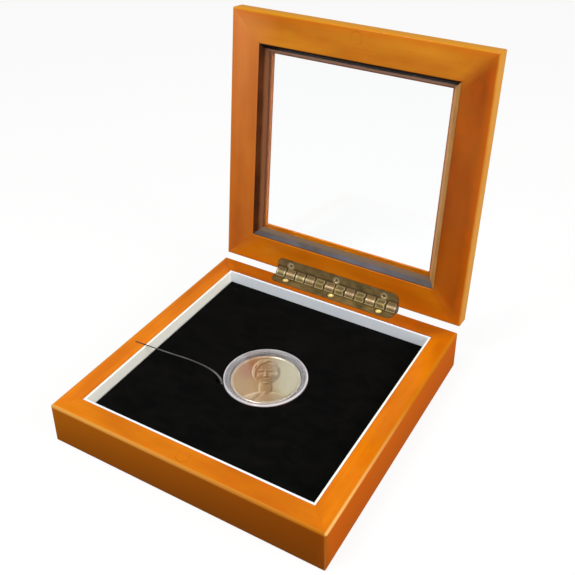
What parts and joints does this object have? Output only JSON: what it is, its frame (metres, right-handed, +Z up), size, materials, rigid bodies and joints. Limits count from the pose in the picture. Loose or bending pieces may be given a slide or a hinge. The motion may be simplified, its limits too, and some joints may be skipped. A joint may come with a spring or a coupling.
{
  "type": "coin display case",
  "caption": "Small square lacquered wooden case with a hinged glazed lid, white lining and a velvet pad that holds a coin in a clear capsule.",
  "frame": {"origin": "centre of the square underside, on the face of the felt, where the case stands", "axes": "+Z up; +Y from the front rail to the hinge at the back; +X to the right seen from the front"},
  "size_m": [0.116, 0.1374, 0.1346],
  "materials": {
    "lacquered_wood": "orange-brown gloss lacquer over fine straight grain",
    "panel_board": "raw fibreboard",
    "felt": "short black felt",
    "white_card": "smooth white paper over card",
    "grey_board": "raw grey board",
    "velvet": "black velvet flock",
    "ribbon": "narrow black satin",
    "clear_plastic": "clear acrylic, polished",
    "coin_metal": "pale gold coin alloy with a coppery tone",
    "antique_brass": "antique brass plating, satin",
    "screw_brass": "yellow brass plating, bright",
    "magnet_plating": "nickel plating",
    "clear_glass": "clear sheet glass",
    "dark_strip": "dark stained wood bead, satin lacquer"
  },
  "bodies": {
    "base": {"base_front_rail": "lacquered_wood", "base_right_rail": "lacquered_wood", "base_back_rail": "lacquered_wood", "base_left_rail": "lacquered_wood", "bottom_panel": "panel_board", "base_felt": "felt", "liner_front": "white_card", "liner_right": "white_card", "liner_back": "white_card", "liner_left": "white_card", "insert_board": "grey_board", "velvet_pad": "velvet", "lifting_ribbon": "ribbon", "hinge_lower_leaf": "antique_brass", "hinge_pin": "antique_brass", "hinge_lower_screws": "screw_brass", "base_magnet": "magnet_plating", "base_magnet_plug": "lacquered_wood"},
    "lid": {"lid_front_rail": "lacquered_wood", "lid_right_rail": "lacquered_wood", "lid_back_rail": "lacquered_wood", "lid_left_rail": "lacquered_wood", "lid_glass": "clear_glass", "glass_retainer_front": "dark_strip", "glass_retainer_right": "dark_strip", "glass_retainer_back": "dark_strip", "glass_retainer_left": "dark_strip", "hinge_upper_leaf": "antique_brass", "hinge_upper_screws": "screw_brass", "lid_magnet": "magnet_plating", "lid_magnet_plug": "lacquered_wood"},
    "capsule": {"capsule_base": "clear_plastic", "coin": "coin_metal"},
    "cap": {"capsule_cap": "clear_plastic"}
  },
  "joints": [
    {"name": "lid_hinge", "type": "hinge", "parent": "base", "child": "lid", "pos_m": [0, 0.0592, 0.0182], "axis": [1, 0, 0], "range_deg": [0, 96]},
    {"name": "capsule_lift", "type": "slide", "parent": "base", "child": "capsule", "axis": [0, 0, 1], "range_m": [0, 0.0055]},
    {"name": "cap_lift", "type": "slide", "parent": "capsule", "child": "cap", "axis": [0, 0, 1], "range_m": [0, 0.0028]}
  ]
}
